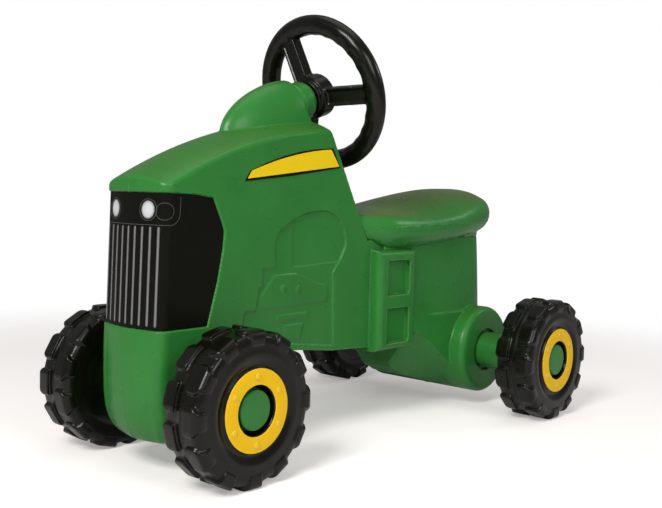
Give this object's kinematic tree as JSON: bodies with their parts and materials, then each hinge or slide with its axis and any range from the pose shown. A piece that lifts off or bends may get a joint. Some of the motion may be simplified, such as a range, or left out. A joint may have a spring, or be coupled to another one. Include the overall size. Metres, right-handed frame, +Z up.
{
  "type": "ride on tractor toy",
  "caption": "Foot-to-floor ride on tractor toy with a hollow green body, saddle seat, turning black steering wheel and chunky lugged wheels with yellow rings.",
  "frame": {"origin": "on the floor, midway between the two axles on the centre plane", "axes": "+X forward, +Y to the toy's left, +Z up"},
  "size_m": [0.5884, 0.3662, 0.4605],
  "materials": {
    "green_plastic": "semi-gloss blow-moulded polyethylene",
    "black_plastic": "satin blow-moulded polyethylene",
    "yellow_plastic": "satin",
    "yellow_label": "printed vinyl film, semi-gloss",
    "black_label": "printed vinyl film, semi-gloss",
    "axle_steel": "bright zinc plated"
  },
  "bodies": {
    "chassis": {"body_shell": "green_plastic", "seat": "green_plastic", "grille_label": "black_label", "hood_label_left": "yellow_label", "hood_label_right": "yellow_label", "front_axle": "axle_steel", "rear_axle": "axle_steel", "axle_washers": "axle_steel", "axle_push_nuts": "axle_steel", "front_spacer_left": "green_plastic", "front_spacer_right": "green_plastic", "rear_spacer_left": "green_plastic", "rear_spacer_right": "green_plastic", "steering_bush": "black_plastic"},
    "steering": {"steering_wheel": "black_plastic", "steering_cap": "black_plastic", "steering_shaft": "axle_steel", "steering_push_nut": "axle_steel"},
    "wheel_front_left": {"front_left_wheel": "black_plastic", "front_left_ring": "yellow_plastic", "front_left_cap": "green_plastic"},
    "wheel_front_right": {"front_right_wheel": "black_plastic", "front_right_ring": "yellow_plastic", "front_right_cap": "green_plastic"},
    "wheel_rear_left": {"rear_left_wheel": "black_plastic", "rear_left_ring": "yellow_plastic", "rear_left_cap": "green_plastic"},
    "wheel_rear_right": {"rear_right_wheel": "black_plastic", "rear_right_ring": "yellow_plastic", "rear_right_cap": "green_plastic"}
  },
  "joints": [
    {"name": "steering_turn", "type": "hinge", "parent": "chassis", "child": "steering", "pos_m": [0.0146, 0, 0.3773], "axis": [-0.9476, 0, 0.3195], "continuous": true},
    {"name": "front_left_roll", "type": "hinge", "parent": "chassis", "child": "wheel_front_left", "pos_m": [0.2222, 0.09765, 0.072], "axis": [0, 1, 0], "continuous": true},
    {"name": "front_right_roll", "type": "hinge", "parent": "chassis", "child": "wheel_front_right", "pos_m": [0.2222, -0.09765, 0.072], "axis": [0, 1, 0], "continuous": true},
    {"name": "rear_left_roll", "type": "hinge", "parent": "chassis", "child": "wheel_rear_left", "pos_m": [-0.2222, 0.1586, 0.072], "axis": [0, 1, 0], "continuous": true},
    {"name": "rear_right_roll", "type": "hinge", "parent": "chassis", "child": "wheel_rear_right", "pos_m": [-0.2222, -0.1586, 0.072], "axis": [0, 1, 0], "continuous": true}
  ]
}
